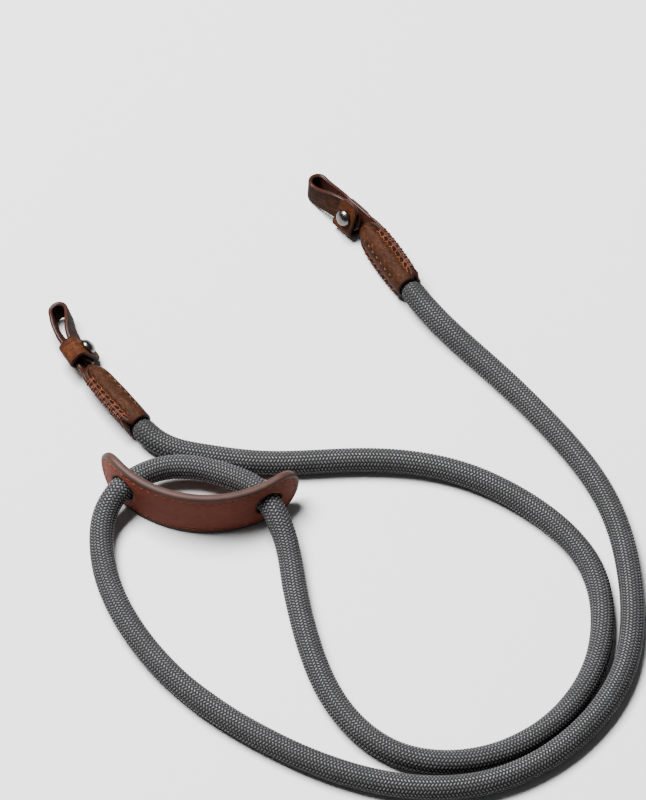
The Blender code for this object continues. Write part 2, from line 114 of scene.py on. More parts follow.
ROPE_RADIUS = ROPE_DIAMETER / 2
HALF_LEATHER = LEATHER / 2
PAD_CAP = PAD_HEIGHT / 2
PAD_STRAIGHT = PAD_LENGTH / 2 - PAD_CAP
PAD_HOLE_RADIUS = ROPE_RADIUS + PAD_HOLE_CLEARANCE
SLEEVE_MID_WIDTH = (SLEEVE_WIDTH - LEATHER) / 2
SLEEVE_MID_DEPTH = ROPE_GRIPPED / 2 + CLEARANCE + HALF_LEATHER
LEG_MID = (LEG_GAP + LEATHER) / 2
LEG_EDGE = LEG_WIDTH / 2
COVER_MID = -LEG_MID + LEATHER + CLEARANCE
SHORT_LEG_END = COVER_LENGTH + COVER_TO_SHORT_LEG
KEEPER_START = SHORT_LEG_END + SHORT_LEG_TO_KEEPER
KEEPER_MIDDLE = KEEPER_START + KEEPER_WIDTH / 2
KEEPER_END = KEEPER_START + KEEPER_WIDTH
KEEPER_MID = LEG_MID + LEATHER + CLEARANCE
KEEPER_FACE = KEEPER_MID + HALF_LEATHER
KEEPER_FOLD = LEG_EDGE + KEEPER_SLACK + HALF_LEATHER
CORNER_F = KEEPER_MID - KEEPER_CORNER
CORNER_W = KEEPER_CORNER - KEEPER_FOLD
TAB_END = LEG_EDGE + TAB_OVERHANG
BACK_END = LEG_EDGE - BACK_END_SETBACK
TURN_MID_RADIUS = (LOOP_OPENING + LEATHER) / 2
TURN_START = KEEPER_END + LOOP_LENGTH - HALF_LEATHER - TURN_MID_RADIUS

# Sizes of the fine detail

BRAID_ROWS = 20  # lengthwise rows round the rope
BRAID_PITCH = 0.00145  # from one float of a row to the next
BRAID_LEAN = 0.00037  # how far a float's end is ahead of its middle
BRAID_RELIEF = 0.00024
BRAID_WITHIN = (0, 0.24, 0.76)  # where a row's three lines of points run: its border, then the float
BRAID_BORDER = -0.35  # the border's relief, as a share
BRAID_SUNK = 0.4  # how much lower the braid's middle lies than the rope's size, as a share
BRAID_SWING = 0.9  # how far the rows swing to and fro, in radians
BRAID_SWING_RATE = 9.0
BRAID_FILAMENTS = 7  # twists of a float's filaments
MOUTH_SHADE_FROM = 0.001  # the rope's stretch past each mouth over which its painted shade fades out
MOUTH_SHADE_TO = 0.020
ROPE_UNEVEN = 0.010
BAKE_STRIPS = 6  # the rope's length is laid out in as many strips
RIM = 0.0005  # how far a leather edge is rounded off
RIM_ANGLES = (60, 30, 0, -30, -60)
NEAR_EDGE = 0.0020  # width of the darker stretch along a leather's edge
AT_EDGE = 0.0003
LIP_LENGTH = 0.0045  # where the two leathers part at the rope's mouth
LIP_OPENING = 0.0006
LIP_CORNER = 0.0020
FLANGE_FILLET = 0.0010
TIP_STAND_OFF = 0.0012  # how far the cover's tip stands off the long leg
TIP_ANGLE = 88  # degrees of a round leather end that are drawn
COVER_TIP_F = COVER_MID + TIP_STAND_OFF
THREAD_SIDES = 6
LACING_PITCH = 0.0033
LACING_START = 0.0036
LACING_END = 0.0312
LACING_INSET = 0.0031  # from the leather's edge to the row of holes
LACING_RADIUS = 0.00013
LACING_PROUD = 0.00022  # how much higher the upper thread runs
LACING_GROOVE_DEPTH = 0.00022
COVER_STITCH_LINE = {"a": -0.0009, "b": 0.0006}  # off the cover's middle
COVER_STITCH_START = 0.0075
COVER_STITCH_END = 0.0275
COVER_STITCH_PITCH = 0.0036
COVER_STITCH_LENGTH = 0.0021
COVER_STITCH_RISE = np.array([-0.0006, -0.0001, 0.00012, 0.00016, 0.00016, 0.00012, -0.0001, -0.0006])
COVER_STITCH_RADIUS = 0.00022
COVER_GROOVE_DEPTH = 0.00045
COVER_HOLE_DEPTH = 0.00042
STUD_SLIT_DEPTH = 0.0009
STUD_SLIT_MORE = {"a": 0, "b": 0.0016}  # how much longer the slit of each end is
PAD_ROUNDING = 0.00135
PAD_ROUNDING_POWER = 2.3
PAD_CAP_POINTS = 41
PAD_SIDE_POINTS = 90
PAD_INSETS = [0, 0.00006, 0.0002, 0.00042, 0.0007, 0.00105, 0.0014, 0.0017, 0.0019, 0.0021, 0.0024, 0.0027]
PAD_INSETS += [0.0030, 0.0033, 0.0037, 0.0043, 0.0052, 0.0064, 0.0078, 0.0095, 0.0114]
PAD_CREASE_INSET = 0.0020
PAD_CREASE_DEPTH = 0.00014
PAD_GROOVE_DEPTH = 0.00016
PAD_CROWN = 0.00022
PAD_HOLE_ROUNDING = 0.0005
PAD_STITCH_INSET = 0.0030
PAD_STITCH_PITCH = 0.0035
PAD_STITCH_LENGTH = 0.0021
PAD_STITCH_RISE = np.array([-0.0007, -0.0002, 0.00004, 0.0001, 0.0001, 0.00004, -0.0002, -0.0007])
PAD_STITCH_RADIUS = 0.00026
LATHE_ANGLES = np.arange(56) * math.tau / 56


def smooth_step(share):
    share = np.clip(share, 0, 1)
    return share * share * (3 - 2 * share)


def mix(low, high, share):
    return low + (high - low) * share


def bell(distance, width):
    return np.exp(-((distance / width) ** 2))


def cos_sin(degrees):
    return math.cos(math.radians(degrees)), math.sin(math.radians(degrees))


def unit(vectors):
    return vectors / np.maximum(np.linalg.norm(vectors, axis=-1, keepdims=True), 1e-12)


def join(*parts):
    """Arrays or single numbers, put together as the last axis of one array."""
    return np.stack(np.broadcast_arrays(*parts), axis=-1)


def run_along(path):
    """How far each point of a path, or of many paths side by side, is from its start."""
    steps = np.linalg.norm(np.diff(path, axis=0), axis=-1)
    return np.concatenate([steps[:1] * 0, np.cumsum(steps, axis=0)])


def read_path(runs, path_runs, path):
    """The points of a path at the given runs along it."""
    return join(*(np.interp(runs, path_runs, values) for values in path.T))


def waves(points, size, seed):
    """A smooth uneven value from -1 to 1 at each point, with bumps of about the given size."""
    random = np.random.default_rng(seed)
    total = np.zeros(points.shape[:-1])
    for _ in range(9):
        direction = unit(random.normal(size=3))
        rate = math.tau / size * random.uniform(0.6, 1.6)
        total += np.sin(points @ direction * rate + random.uniform(0, 6.3))
    return total / 4.5


def add_object(name, data):
    made = bpy.data.objects.new(name, data)
    bpy.context.scene.collection.objects.link(made)
    return made


def add_mesh(name, points, faces):
    mesh = bpy.data.meshes.new(name)
    mesh.from_pydata(points, [], faces)
    return add_object(name, mesh)


# Camera, floor and light


def aim(placed, target):
    placed.rotation_euler = (Vector(target) - placed.location).to_track_quat("-Z", "Y").to_euler()


def add_camera():
    camera = add_object("camera", bpy.data.cameras.new("camera"))
    level, up = cos_sin(53)
    target, distance = Vector((0.0540, 0.0675, 0)), 3.0
    camera.location = target + distance * Vector((0, -level, up))
    aim(camera, target)
    camera.data.lens = 320
    camera.data.clip_end = 50
    bpy.context.scene.camera = camera


def add_key_light():
    data = bpy.data.lights.new("key", "AREA")
    data.shape = "RECTANGLE"
    data.size, data.size_y = 1.4, 1.0
    data.energy = 335
    light = add_object("key", data)
    light.location = (-0.70, 0.62, 2.10)
    aim(light, (0.05, 0.03, 0))


def add_world():
    world = bpy.data.worlds.new("studio")
    bpy.context.scene.world = world
    world.use_nodes = True
    colour, strength = world.node_tree.nodes["Background"].inputs[:2]
    colour.default_value = (1, 1, 1, 1)
    strength.default_value = 0.13


def make_floor():
    reach, low = 3.0, -0.0002
    points = [(-reach, -reach, low), (reach, -reach, low), (reach, reach, low), (-reach, reach, low)]
    floor = add_mesh("floor", points, [(0, 1, 2, 3)])
    floor.data.materials.append(floor_material())


# Materials


class Nodes:
    """Draws the node tree of one material."""

    def __init__(self, name, **sockets):
        self.material = bpy.data.materials.new(name)
        self.material.use_nodes = True
        self.tree = self.material.node_tree
        self.shader = self.tree.nodes["Principled BSDF"]
        for socket, value in sockets.items():
            self.put(self.shader.inputs[socket.replace("_", " ")], value)

    def put(self, socket, value):
        if isinstance(value, bpy.types.NodeSocket):
            self.tree.links.new(value, socket)
        elif isinstance(value, tuple) and len(value) == 3 and len(socket.default_value) == 4:
            socket.default_value = (*value, 1)
        else:
            socket.default_value = value

    def node(self, kind, values, **settings):
        made = self.tree.nodes.new("ShaderNode" + kind)
        for setting, value in settings.items():
            setattr(made, setting, value)
        for socket, value in values.items():
            self.put(made.inputs[socket], value)
        return made.outputs

    def calc(self, operation, *values):
        return self.node("Math", dict(enumerate(values)), operation=operation)[0]

    def times(self, value, other):
        return self.calc("MULTIPLY", value, other)

    def scaled(self, value, factor, base):
        return self.calc("MULTIPLY_ADD", value, factor, base)

    def flipped(self, share):
        return self.calc("SUBTRACT", 1.0, share)

    def blend(self, share, low, high, how="MIX"):
        values = {0: share, 6: low, 7: high}
        return self.node("Mix", values, data_type="RGBA", blend_type=how)[2]

    def between(self, value, low, high):
        values = {"Value": value, "From Min": low, "From Max": high}
        return self.node("MapRange", values, interpolation_type="SMOOTHSTEP")[0]

    def noise(self, place, scale, detail=3.0, rough=0.55):
        values = {"Vector": place, "Scale": scale, "Detail": detail, "Roughness": rough}
        return self.node("TexNoise", values)[0]

    def streaks(self, place, stretch, detail, rough):
        """Noise whose scale differs by direction."""
        stretched = self.node("Mapping", {"Vector": place, "Scale": stretch})[0]
        return self.noise(stretched, 1.0, detail, rough)

    def cells(self, place, scale):
        return self.node("TexVoronoi", {"Vector": place, "Scale": scale})[0]

    def short_names(self):
        return self.calc, self.times, self.scaled, self.between, self.blend, self.noise

    def attribute(self, name):
        return self.node("Attribute", {}, attribute_name=name)["Fac"]

    def uv(self, name):
        return self.node("UVMap", {}, uv_map=name)[0]

    def place(self):
        return self.node("TexCoord", {})["Object"]

    def finish(self, colour, roughness=None, height=None, depth=0.0, strength=1.0):
        self.put(self.shader.inputs["Base Color"], colour)
        if roughness is not None:
            self.put(self.shader.inputs["Roughness"], roughness)
        if height is not None:
            values = {"Height": height, "Distance": depth, "Strength": strength}
            self.put(self.shader.inputs["Normal"], self.node("Bump", values)["Normal"])
        return self.material


def braid_material(length):
    """Floats of twisted filaments: U counts the rows round the rope and V the pitches along it."""
    draw = Nodes("braid", Specular_IOR_Level=0.30)
    calc, times, scaled, between, blend, noise = draw.short_names()
    place = draw.uv("braid")
    rows, pitches = draw.node("SeparateXYZ", {0: place})[:2]
    row = calc("FLOOR", rows)
    shifted = scaled(calc("MODULO", row, 2.0), 0.5, pitches)
    number = calc("ROUND", shifted)
    offset = calc("SUBTRACT", shifted, number)
    along = times(calc("ABSOLUTE", offset), 2.0)
    middle = calc("SUBTRACT", calc("FRACT", rows), 0.5)
    across = times(calc("ABSOLUTE", middle), 2.0)
    away = calc("POWER", times(along, 1.70), 2.0)
    away = calc("ADD", away, calc("POWER", times(across, 1.10), 3.0))
    crown = draw.flipped(between(away, 0.08, 0.92))
    flank = draw.flipped(between(along, 0.55, 1.0))
    float_place = draw.node("CombineXYZ", {0: row, 1: number})[0]
    varied = draw.node("TexWhiteNoise", {0: float_place}, noise_dimensions="2D")[0]
    filaments = calc("SINE", times(offset, math.tau * BRAID_FILAMENTS))
    fuzz = draw.streaks(place, (1.5, 14.0, 1.0), 4.0, 0.7)
    drift = between(noise(draw.place(), 60.0, 4.0), 0.3, 0.7)
    # painted shade: the rope is drawn darker over its first stretch past each mouth, for the shadow of the
    # sleeve
    from_end = calc("MINIMUM", pitches, calc("SUBTRACT", length / BRAID_PITCH, pitches))
    mouth_shade_fade = between(from_end, (ROPE_REACH + MOUTH_SHADE_FROM) / BRAID_PITCH, (ROPE_REACH + MOUTH_SHADE_TO) / BRAID_PITCH)
    shade = scaled(varied, 0.45, 0.70)
    parts = (fuzz, 0.5, 0.75), (filaments, 0.10, 1.0), (drift, 0.35, 0.82), (mouth_shade_fade, 0.72, 0.28)
    for share, factor, base in parts:
        shade = times(shade, scaled(share, factor, base))
    # painted light and shade: the floats' crowns take the lit colour, while the gaps and flanks between floats
    # take a near-black painted shade
    lit = blend(1.0, (0.065, 0.065, 0.0683), shade, "MULTIPLY")
    dark = blend(flank, (0.0008, 0.0008, 0.0009), (0.0085, 0.0085, 0.0090))
    height = scaled(filaments, 0.07, scaled(flank, 0.5, crown))
    return draw.finish(blend(crown, dark, lit), scaled(crown, -0.56, 0.90), height, 0.00022, 0.8)


def leather_material(name, colours, rub_share, roughness, edge_roughness, gloss, mottle):
    """Leather with pores, blotches, scratches and worn edges. Colours: deep, plain, rubbed, edge, inner."""
    deep, plain, rubbed, edge_colour, inner_colour = colours
    hole_colour, raw_colour = (0.0036, 0.0020, 0.0015), (0.55, 0.21, 0.045)
    draw = Nodes(name, Specular_IOR_Level=gloss)
    calc, times, scaled, between, blend, noise = draw.short_names()
    place, flat_place = draw.place(), draw.uv("leather")
    inner = draw.attribute("inner")
    fibres = draw.streaks(flat_place, (900.0, 210.0, 1.0), 6.0, 0.7)
    cloud = scaled(noise(place, 380.0, 8.0, 0.70), 0.5, times(fibres, 0.5))
    speckle = noise(place, 1500.0, 3.0, 0.7)
    rub = noise(place, 620.0, 8.0, 0.75)
    lines = draw.streaks(flat_place, (2600.0, 520.0, 1.0), 5.0, 0.7)
    pores = draw.cells(place, 2300.0)
    share = scaled(between(cloud, 0.40, 0.60), mottle, (1 - mottle) * 0.5)
    colour = blend(share, deep, plain)
    worn = scaled(calc("SUBTRACT", cloud, 0.5), 0.9, rub)
    worn = between(worn, 0.72 - 0.3 * rub_share, 0.92 - 0.2 * rub_share)
    worn = times(worn, between(speckle, 0.25, 0.60))
    colour = blend(times(worn, rub_share), colour, rubbed)
    colour = blend(times(between(lines, 0.56, 0.68), 0.75 * rub_share), colour, rubbed)
    colour = blend(times(draw.flipped(between(pores, 0.05, 0.35)), 0.42), colour, deep)
    colour = blend(times(draw.attribute("near"), 0.60), colour, deep)
    suede = blend(between(speckle, 0.3, 0.7), inner_colour, deep)
    colour = blend(inner, colour, suede)
    sealed = blend(times(between(cloud, 0.35, 0.7), 0.3 * mottle), edge_colour, plain)
    edge_share = between(scaled(rub, 0.25, draw.attribute("edge")), 0.45, 0.80)
    colour = blend(edge_share, colour, sealed)
    colour = blend(draw.attribute("hole"), colour, hole_colour)
    colour = blend(draw.attribute("raw"), colour, raw_colour)
    roughness = scaled(inner, 0.25, scaled(speckle, 0.30, roughness - 0.15))
    roughness = draw.node("Mix", {0: edge_share, 2: roughness, 3: edge_roughness})[0]
    height = times(scaled(pores, 0.55, speckle), scaled(edge_share, -0.85, 1.0))
    return draw.finish(colour, roughness, scaled(cloud, 0.8, height), 0.00012, 0.7)


def thread_material(name, light, dark):
    draw = Nodes(name, Specular_IOR_Level=0.15)
    calc, times, scaled, between, blend, noise = draw.short_names()
    around, along = draw.node("SeparateXYZ", {0: draw.uv("leather")})[:2]
    turns = scaled(along, 2200.0, times(around, 2.0))
    twist = scaled(calc("SINE", times(turns, math.tau)), 0.5, 0.5)
    fuzz = noise(draw.place(), 2500.0, 3.0)
    dark_patches = between(noise(draw.place(), 420.0, 3.0), 0.38, 0.62)
    # painted light and shade: the light colour is a painted highlight on each ply of the twist and the dark
    # colour painted shade between plies; random dark patches also take the dark colour
    colour = blend(scaled(twist, 0.6, times(fuzz, 0.4)), dark, light)
    colour = blend(times(dark_patches, 0.55), colour, dark)
    return draw.finish(colour, scaled(fuzz, 0.3, 0.45), twist, 0.00010, 0.6)


def metal_material():
    draw = Nodes("dark_nickel", Metallic=1.0)
    place = draw.place()
    marks = draw.streaks(place, (300.0, 2400.0, 300.0), 5.0, 0.65)
    dull = draw.noise(place, 420.0, 4.0)
    colour = draw.blend(draw.between(dull, 0.3, 0.7), (0.078, 0.075, 0.069), (0.130, 0.124, 0.114))
    roughness = draw.scaled(marks, 0.20, draw.scaled(dull, 0.10, 0.10))
    return draw.finish(colour, roughness, marks, 0.00002, 0.3)


def floor_material():
    draw = Nodes("pale_floor", Roughness=0.8, Specular_IOR_Level=0.2)
    soft = draw.noise(draw.place(), 3.0, 2.0)
    return draw.finish(draw.blend(soft, (0.50, 0.50, 0.50), (0.53, 0.53, 0.53)))


# Meshes


def add_piece(name, points, faces, material, values=None, uvs=None, replaces=()):
    """A mesh that rides on the body. Values are vertex attributes, uvs are maps by name."""
    piece = add_mesh(name, np.reshape(points, (-1, 3)).tolist(), faces)
    mesh = piece.data
    for attribute, numbers in (values or {}).items():
        mesh.attributes.new(attribute, "FLOAT", "POINT").data.foreach_set("value", np.ravel(numbers))
    for layer, corners in (uvs or {}).items():
        mesh.uv_layers.new(name=layer).data.foreach_set("uv", np.ravel(corners))
    mesh.shade_smooth()
    mesh.materials.append(material)
    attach(piece, "root")
    if replaces:
        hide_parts(*replaces)
    return piece


def ring_quads(rings, sides):
    """Faces between closed rows of points, each with the next."""
    i, j = np.divmod(np.arange((rings - 1) * sides), sides)
    low, low_next = i * sides + j, i * sides + (j + 1) % sides
    return join(low, low_next, low_next + sides, low + sides)


def end_caps(rings, sides):
    return [tuple(range(sides - 1, -1, -1)), tuple(range((rings - 1) * sides, rings * sides))]


def tubes(name, paths, radius, material):
    """Threads: one tube with closed ends along each path."""
    angles = np.arange(THREAD_SIDES)[:, None] * math.tau / THREAD_SIDES
    points, faces, corners = [], [], []
    for path in paths:
        tangents = unit(np.gradient(path, axis=0))
        normals = unit(np.cross(tangents, (0.3, 0.5, 0.8)))
        others = np.cross(tangents, normals)
        first = len(points)
        rings = path[:, None] + radius * (np.cos(angles) * normals[:, None] + np.sin(angles) * others[:, None])
        points.extend(rings.reshape(-1, 3))
        quads = ring_quads(len(path), THREAD_SIDES)
        faces += (quads + first).tolist()
        i, j = np.divmod(np.arange(len(quads)), THREAD_SIDES)
        shares = join(j, j + 1, j + 1, j) / THREAD_SIDES
        runs = run_along(path)[join(i, i, i + 1, i + 1)]
        corners += join(shares, runs).reshape(-1, 2).tolist()
        for start in (first, len(points) - THREAD_SIDES):
            faces.append(tuple(range(start, start + THREAD_SIDES)))
            corners += [(0, 0)] * THREAD_SIDES
    return add_piece(name, points, faces, material, uvs={"leather": corners})


def leather_sheet(node, middle, outward, material, relief, holes=0):
    """A node's strip of leather, with rounded edges, round a grid of points on its middle."""
    rows, columns = middle.shape[:2]
    outer = middle + outward * (HALF_LEATHER + relief)[..., None]
    inner = middle - outward * HALF_LEATHER
    half = rows * columns
    grid = np.arange(half).reshape(rows, columns)
    loop = np.concatenate([grid[:, 0], grid[-1, 1:], grid[-2::-1, -1], grid[0, -2:0:-1]])
    at_i, at_j = np.divmod(loop, columns)
    rim, rim_out, rim_relief = (values[at_i, at_j] for values in (middle, outward, relief))
    run = np.roll(rim, -1, axis=0) - np.roll(rim, 1, axis=0)
    aside = unit(np.cross(run, rim_out))
    inside = middle[np.clip(at_i, 1, rows - 2), np.clip(at_j, 1, columns - 2)] - rim
    aside *= -np.sign(np.sum(aside * inside, axis=1, keepdims=True) + 1e-15)
    rings = []
    for angle in np.radians(RIM_ANGLES):
        height = HALF_LEATHER * math.sin(angle) + max(math.sin(angle), 0) * rim_relief
        rings.append(rim + aside * RIM * math.cos(angle) + rim_out * height[:, None])
    points = np.concatenate([outer.reshape(-1, 3), inner.reshape(-1, 3)] + rings)
    quads = join(grid[:-1, :-1], grid[:-1, 1:], grid[1:, 1:], grid[1:, :-1]).reshape(-1, 4)
    faces = quads.tolist() + (quads[:, ::-1] + half).tolist()
    size = len(loop)
    levels = [loop, *(2 * half + np.arange(size * len(rings)).reshape(-1, size)), loop + half]
    for low, high in zip(levels, levels[1:]):
        faces += join(low, high, np.roll(high, -1), np.roll(low, -1)).tolist()
    along, across = run_along(middle), run_along(middle.swapaxes(0, 1)).T
    gap = np.minimum(np.minimum(along, along[-1:] - along), np.minimum(across, across[:, -1:] - across)).ravel()
    near, edge = bell(gap, NEAR_EDGE), bell(gap, AT_EDGE) * 0.55
    none, around = np.zeros(half), np.ones(size * len(rings))
    values = {
        "near": (near, near, around),
        "edge": (edge, edge, around),
        "inner": (none, none + 1, around * 0),
        "hole": (none + np.ravel(holes), none, around * 0),
    }
    values = {name: np.concatenate(parts) for name, parts in values.items()}
    flat = join(across - across[:, -1:] / 2, along).reshape(-1, 2)
    flat = np.concatenate([flat, flat] + [flat[loop]] * len(rings))
    uvs = {"leather": flat[np.ravel(faces)]}
    return add_piece(node + "_leather", points, faces, material, values, uvs, replaces=[node])


# How an end lies


def resting_height(circles, roll):
    up_w, up_f = cos_sin(roll)
    return max(radius - f * up_f - w * up_w for f, w, radius in circles) + LEGS_LIFT


def sleeve_height(roll):
    up_w, up_f = cos_sin(roll)
    return math.hypot((SLEEVE_MID_DEPTH + HALF_LEATHER) * up_f, SLEEVE_WIDTH / 2 * up_w)


def keeper_height(roll):
    corner_radius = KEEPER_CORNER + HALF_LEATHER
    outline = [(CORNER_F, CORNER_W, corner_radius), (-CORNER_F, CORNER_W, corner_radius)]
    outline += [(KEEPER_MID - HALF_LEATHER, TAB_END, 0), (-KEEPER_FACE, BACK_END, 0)]
    return resting_height(outline, roll)


def loop_height(roll):
    far = TURN_MID_RADIUS + HALF_LEATHER
    return resting_height([(-far, LEG_EDGE, 0), (-far, -LEG_EDGE, 0)], roll)


def lie_value(values, u):
    sleeve, keeper, loop = values
    to_keeper = smooth_step((u - BEND_START) / (KEEPER_START - BEND_START))
    to_loop = smooth_step((u - KEEPER_END) / (TURN_START - KEEPER_END))
    return mix(mix(sleeve, keeper, to_keeper), loop, to_loop)


def lie_at(end, u):
    """The matrix that carries a drawn end's plane at u to its place."""
    mouth, headings, rolls = ENDS[end].values()
    heights = [height(roll) for height, roll in zip((sleeve_height, keeper_height, loop_height), rolls)]
    place = Vector((*mouth, lie_value(heights, u)))
    for step in range(BEND_STEPS):
        u_passed = (step + 0.5) / BEND_STEPS * u
        place += Vector((*cos_sin(lie_value(headings, u_passed)), 0)) * u / BEND_STEPS
    heading = Matrix.Rotation(math.radians(lie_value(headings, u)), 4, "Z")
    roll = Matrix.Rotation(math.radians(lie_value(rolls, u)), 4, "X")
    return Matrix.Translation(place) @ heading @ roll


LIES = {end: np.array([lie_at(end, LIE_FROM + LIE_STEP * i) for i in range(LIE_COUNT)]) for end in ENDS}


def lay(end, drawn):
    """Drawn points (u, f, w) laid down."""
    drawn = np.asarray(drawn, float)
    at = (drawn[..., 0] - LIE_FROM) / LIE_STEP
    low = np.clip(np.floor(at).astype(int), 0, len(LIES[end]) - 2)
    share = (at - low)[..., None, None]
    lie = LIES[end][low] * (1 - share) + LIES[end][low + 1] * share
    return lie[..., :3, 3] + lie[..., :3, 1] * drawn[..., 1:2] + lie[..., :3, 2] * drawn[..., 2:3]


def lay_sheet(end, drawn, at):
    """A drawn grid laid down, and its unit normals. The one at the given place looks away from the axis."""
    laid = lay(end, drawn)
    outward = unit(np.cross(np.gradient(laid, axis=0), np.gradient(laid, axis=1)))
    from_axis = laid[at] - lay(end, drawn[at] * [1, 0, 0])
    return laid, -outward if outward[at] @ from_axis < 0 else outward


# Rope


def smooth_route(points):
    """Points on the natural cubic spline through the given ones."""
    knots = np.array([(*point, ROPE_RADIUS)[:3] for point in points])
    runs = np.linalg.norm(np.diff(knots, axis=0), axis=1)
    system = np.identity(len(knots))
    bending = np.zeros((len(knots), 3))
    for i in range(1, len(knots) - 1):
        before, after = runs[i - 1], runs[i]
        system[i, i - 1 : i + 2] = before, 2 * (before + after), after
        bending[i] = 6 * ((knots[i + 1] - knots[i]) / after - (knots[i] - knots[i - 1]) / before)
    second = np.linalg.solve(system, bending)
    route = []
    for i, run in enumerate(runs):
        start = knots[i] / run - second[i] * run / 6
        finish = knots[i + 1] / run - second[i + 1] * run / 6
        pieces = max(1, round(run / ROUTE_STEP))
        done = run * np.arange(pieces)[:, None] / pieces
        left = run - done
        bent = (second[i] * left**3 + second[i + 1] * done**3) / (6 * run)
        route.append(bent + start * left + finish * done)
    route = np.concatenate(route + [knots[-1:]])
    route[:, 2] = np.maximum(route[:, 2], ROPE_RADIUS)
    return route


def pad_place(along, height, out):
    """Where places on the flat pad are once it is bent round its upright axis and turned."""
    turn = math.radians(PAD_TURN)
    angle = turn - math.pi / 2 + along / PAD_BEND_RADIUS
    reach = PAD_BEND_RADIUS + out
    x = np.cos(angle) * reach - math.sin(turn) * PAD_BEND_RADIUS
    y = np.sin(angle) * reach + math.cos(turn) * PAD_BEND_RADIUS
    return join(x, y, height + PAD_CAP)


def pad_hole(side, out):
    return pad_place(side * PAD_HOLE_SPACING / 2, 0, out)


def rope_route():
    return smooth_route([
        *(lie_at("a", u).translation for u in (ROPE_REACH, 0, -ROPE_NARROWING)),
        *ROUTE_FROM_A_TO_PAD, pad_hole(-1, ROPE_STRAIGHT), pad_hole(-1, -ROPE_STRAIGHT),
        *ROUTE_BEHIND_PAD, pad_hole(1, -ROPE_STRAIGHT), pad_hole(1, ROPE_STRAIGHT),
        *ROUTE_FROM_PAD_TO_B,
        *(lie_at("b", u).translation for u in (-ROPE_NARROWING, 0, ROPE_REACH)),
    ])


def rope_radii(run, length):
    """The rope's radius at each run along it, less where a sleeve holds it."""
    inside = ROPE_REACH - np.minimum(run, length - run)
    deep = mix(ROPE_GRIPPED, ROPE_PRESSED, (np.clip(inside, 0, None) / ROPE_REACH) ** 2)
    outside = smooth_step(-inside / ROPE_NARROWING)
    return mix(deep, ROPE_DIAMETER, outside) / 2


def make_rope():
    route = rope_route()
    route_run = run_along(route)
    length = route_run[-1]
    rings = int(length / BRAID_PITCH * 2)
    run = np.linspace(0, length, rings)
    centres = read_path(run, route_run, route)
    tangents = unit(np.gradient(centres, axis=0))
    normals = np.zeros_like(centres)
    normals[0] = unit(np.cross(tangents[0], (0, 0, 1)))
    for i in range(1, rings):
        normals[i] = unit(normals[i - 1] - tangents[i] * (normals[i - 1] @ tangents[i]))
    others = np.cross(tangents, normals)
    sides = BRAID_ROWS * 3
    row, line = np.divmod(np.arange(sides), 3)
    within = np.array(BRAID_WITHIN)[line]
    place = row + within
    lean = BRAID_LEAN * (1 - 2 * within) * np.where(row % 2 == 0, 1, -1)
    crest = np.where((np.arange(rings)[:, None] + row) % 2 == 0, 1, -1)
    relief = np.where(line == 0, BRAID_BORDER, crest) * BRAID_RELIEF
    at = np.clip(run[:, None] + lean, 0, length)
    index = at / length * (rings - 1)
    low = np.clip(np.floor(index).astype(int), 0, rings - 2)
    share = (index - low)[..., None]
    centre, normal, other = (mix(parts[low], parts[low + 1], share) for parts in (centres, normals, others))
    uneven = 1 + ROPE_UNEVEN * waves(centre, 0.03, 3)
    radius = (rope_radii(at, length) * uneven + relief - BRAID_RELIEF * BRAID_SUNK)[..., None]
    swing = BRAID_SWING * np.sin(at / length * BRAID_SWING_RATE)
    turned = (place / BRAID_ROWS * math.tau + swing)[..., None]
    points = centre + radius * (np.cos(turned) * normal + np.sin(turned) * other)
    quads = ring_quads(rings, sides)
    i, j = np.divmod(np.arange(len(quads)), sides)
    right = np.where(j == sides - 1, BRAID_ROWS, place[(j + 1) % sides])
    braid = np.stack([join(place[j], i / 2), join(right, i / 2)], axis=1)
    braid = np.concatenate([braid, braid[:, ::-1] + [0, 0.5]], axis=1)
    per_strip = math.ceil(rings / BAKE_STRIPS)
    strip = (i // per_strip)[:, None]
    bake_u = (strip + 0.02 + 0.96 * braid[..., 0] / BRAID_ROWS) / BAKE_STRIPS
    bake_v = 0.004 + 0.992 * (braid[..., 1] * 2 - strip * per_strip) / per_strip
    ends = np.zeros((2 * sides, 2))
    uvs = {
        "braid": np.concatenate([braid.reshape(-1, 2), ends]),
        "OFBake": np.concatenate([join(bake_u, bake_v).reshape(-1, 2), ends]),
    }
    faces = quads.tolist() + end_caps(rings, sides)
    material = braid_material(length)
    rope = add_piece("rope_braided", points, faces, material, uvs=uvs, replaces=["rope"])


# Slide pad


def pad_outline():
    """Rows round the pad: a base along it, then the shares of the reach along and in height."""
    angles = np.linspace(-math.pi / 2, math.pi / 2, PAD_CAP_POINTS)
    bases = np.linspace(PAD_STRAIGHT, -PAD_STRAIGHT, PAD_SIDE_POINTS)[1:-1]
    right = [(PAD_STRAIGHT, math.cos(angle), math.sin(angle)) for angle in angles]
    left = [(-PAD_STRAIGHT, -math.cos(angle), math.sin(angle)) for angle in angles[::-1]]
    return np.array(right + [(base, 0, 1) for base in bases] + left + [(base, 0, -1) for base in -bases])


def pad_inset(along, height):
    beyond = np.maximum(np.abs(along) - PAD_STRAIGHT, 0)
    return PAD_CAP - np.hypot(beyond, height)


def pad_half_thickness(along, height, face):
    """How far a face is from the pad's middle surface: rounded, creased, grooved and crowned."""
    inset = pad_inset(along, height)
    rounded = 1 - np.clip(1 - inset / PAD_ROUNDING, 0, 1) ** PAD_ROUNDING_POWER
    half = PAD_THICKNESS / 2 * rounded ** (1 / PAD_ROUNDING_POWER)
    half -= PAD_CREASE_DEPTH * bell(inset - PAD_CREASE_INSET, 0.00025)
    half -= PAD_GROOVE_DEPTH * bell(inset - PAD_STITCH_INSET, 0.0005)
    half += PAD_CROWN * smooth_step((inset - 0.0034) / 0.0035)
    flat = join(along, height, height * 0 + face)
    return half + 0.00006 * waves(flat, 0.009, 11) * smooth_step(inset / 0.003)


